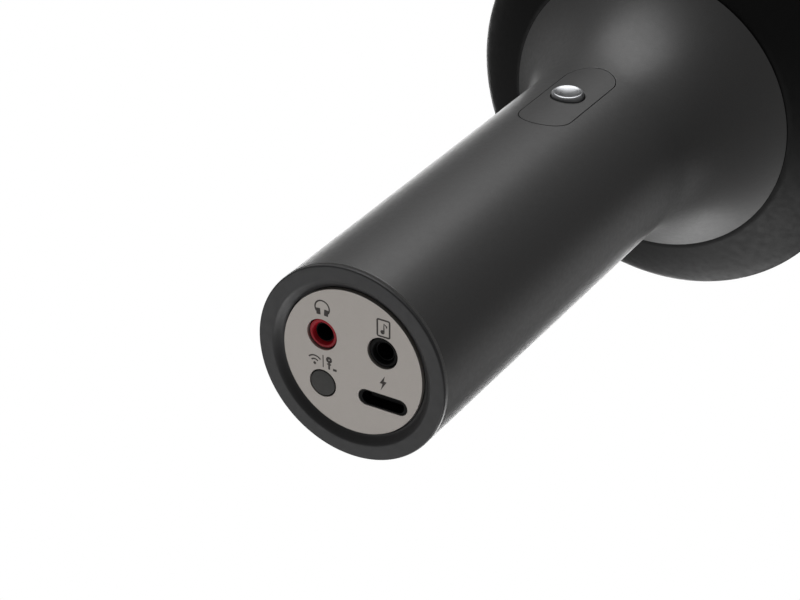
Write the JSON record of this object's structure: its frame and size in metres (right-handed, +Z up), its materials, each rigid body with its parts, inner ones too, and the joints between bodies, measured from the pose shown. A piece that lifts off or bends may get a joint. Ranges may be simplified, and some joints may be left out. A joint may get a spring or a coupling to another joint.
{
  "type": "karaoke microphone",
  "caption": "Handheld microphone with a built-in loudspeaker: sockets in its end cap, a volume rocker round the power button, and a mesh dome that lifts off.",
  "frame": {"origin": "centre of the end cap's flat ring, which it stands on", "axes": "+Z up the handle to the dome, -Y is the front with the power button, +X is the side of the music socket"},
  "size_m": [0.0922, 0.0922, 0.2223],
  "materials": {
    "gunmetal": "satin grey paint",
    "cap_plastic": "satin",
    "plate_metal": "fine brushed, warm grey",
    "black_plastic": "satin",
    "frame_plastic": "matt",
    "red_plastic": "gloss",
    "grey_rubber": "matt",
    "rubber": "matt",
    "silver": "satin chrome",
    "steel": "plain",
    "mesh_steel": "dark painted mesh",
    "circuit_board": "solder mask",
    "chip": "matt",
    "cell_wrap": "gloss sleeve over a metal can",
    "paper_cone": "pressed paper",
    "foam": "open-cell foam",
    "lead_insulation": "matt"
  },
  "bodies": {
    "microphone": {"handle_body": "gunmetal", "end_cap": "cap_plastic", "port_plate": "plate_metal", "end_cap_screw_1": "steel", "end_cap_screw_2": "steel", "headphone_socket_collar": "red_plastic", "headphone_socket_body": "black_plastic", "music_socket_collar": "black_plastic", "music_socket_body": "black_plastic", "usb_socket_shell": "steel", "usb_socket_tongue": "black_plastic", "mode_switch": "black_plastic", "port_board": "circuit_board", "inner_frame": "frame_plastic", "battery_cell": "cell_wrap", "main_board": "circuit_board", "radio_module": "steel", "sound_chip": "chip", "amplifier_chip": "chip", "power_inductor": "chip", "power_switch": "black_plastic", "volume_up_switch": "black_plastic", "volume_down_switch": "black_plastic", "rocker_carrier": "frame_plastic", "head_bowl": "black_plastic", "bowl_screw_1": "steel", "bowl_screw_2": "steel", "bowl_screw_3": "steel", "speaker_grille": "mesh_steel", "speaker_frame": "frame_plastic", "top_deck": "black_plastic", "deck_screw_1": "steel", "deck_screw_2": "steel", "grille_gasket": "rubber", "capsule_post": "frame_plastic", "capsule_mount": "rubber", "mic_capsule": "steel", "speaker_lead_left": "lead_insulation", "speaker_lead_right": "lead_insulation", "capsule_lead": "lead_insulation", "speaker_basket_left": "steel", "speaker_magnet_left": "steel", "speaker_surround_left": "rubber", "speaker_basket_right": "steel", "speaker_magnet_right": "steel", "speaker_surround_right": "rubber"},
    "mode_button": {"mode_button": "grey_rubber"},
    "power_button": {"power_button": "silver"},
    "volume_rocker": {"volume_rocker": "gunmetal"},
    "left_cone": {"speaker_cone_left": "paper_cone"},
    "right_cone": {"speaker_cone_right": "paper_cone"},
    "grille": {"mesh_dome": "mesh_steel", "grille_ring": "silver", "foam_liner": "foam"}
  },
  "joints": [
    {"name": "mode_press", "type": "slide", "parent": "microphone", "child": "mode_button", "axis": [0, 0, 1], "range_m": [0, 0.0005], "stiffness_N_per_m": 400, "springref_m": -0.001},
    {"name": "power_press", "type": "slide", "parent": "microphone", "child": "power_button", "axis": [0, 1, 0], "range_m": [0, 0.0005], "stiffness_N_per_m": 400, "springref_m": -0.001},
    {"name": "volume_rock", "type": "hinge", "parent": "microphone", "child": "volume_rocker", "pos_m": [0, -0.015, 0.0844], "axis": [1, 0, 0], "range_deg": [-2, 2], "stiffness_Nm_per_rad": 0.5},
    {"name": "left_cone_move", "type": "slide", "parent": "microphone", "child": "left_cone", "axis": [-1, 0, 0], "range_m": [-0.0005, 0.0005], "stiffness_N_per_m": 1200},
    {"name": "right_cone_move", "type": "slide", "parent": "microphone", "child": "right_cone", "axis": [1, 0, 0], "range_m": [-0.0005, 0.0005], "stiffness_N_per_m": 1200},
    {"name": "grille_lift", "type": "slide", "parent": "microphone", "child": "grille", "axis": [0, 0, 1], "range_m": [0, 0.06]}
  ]
}
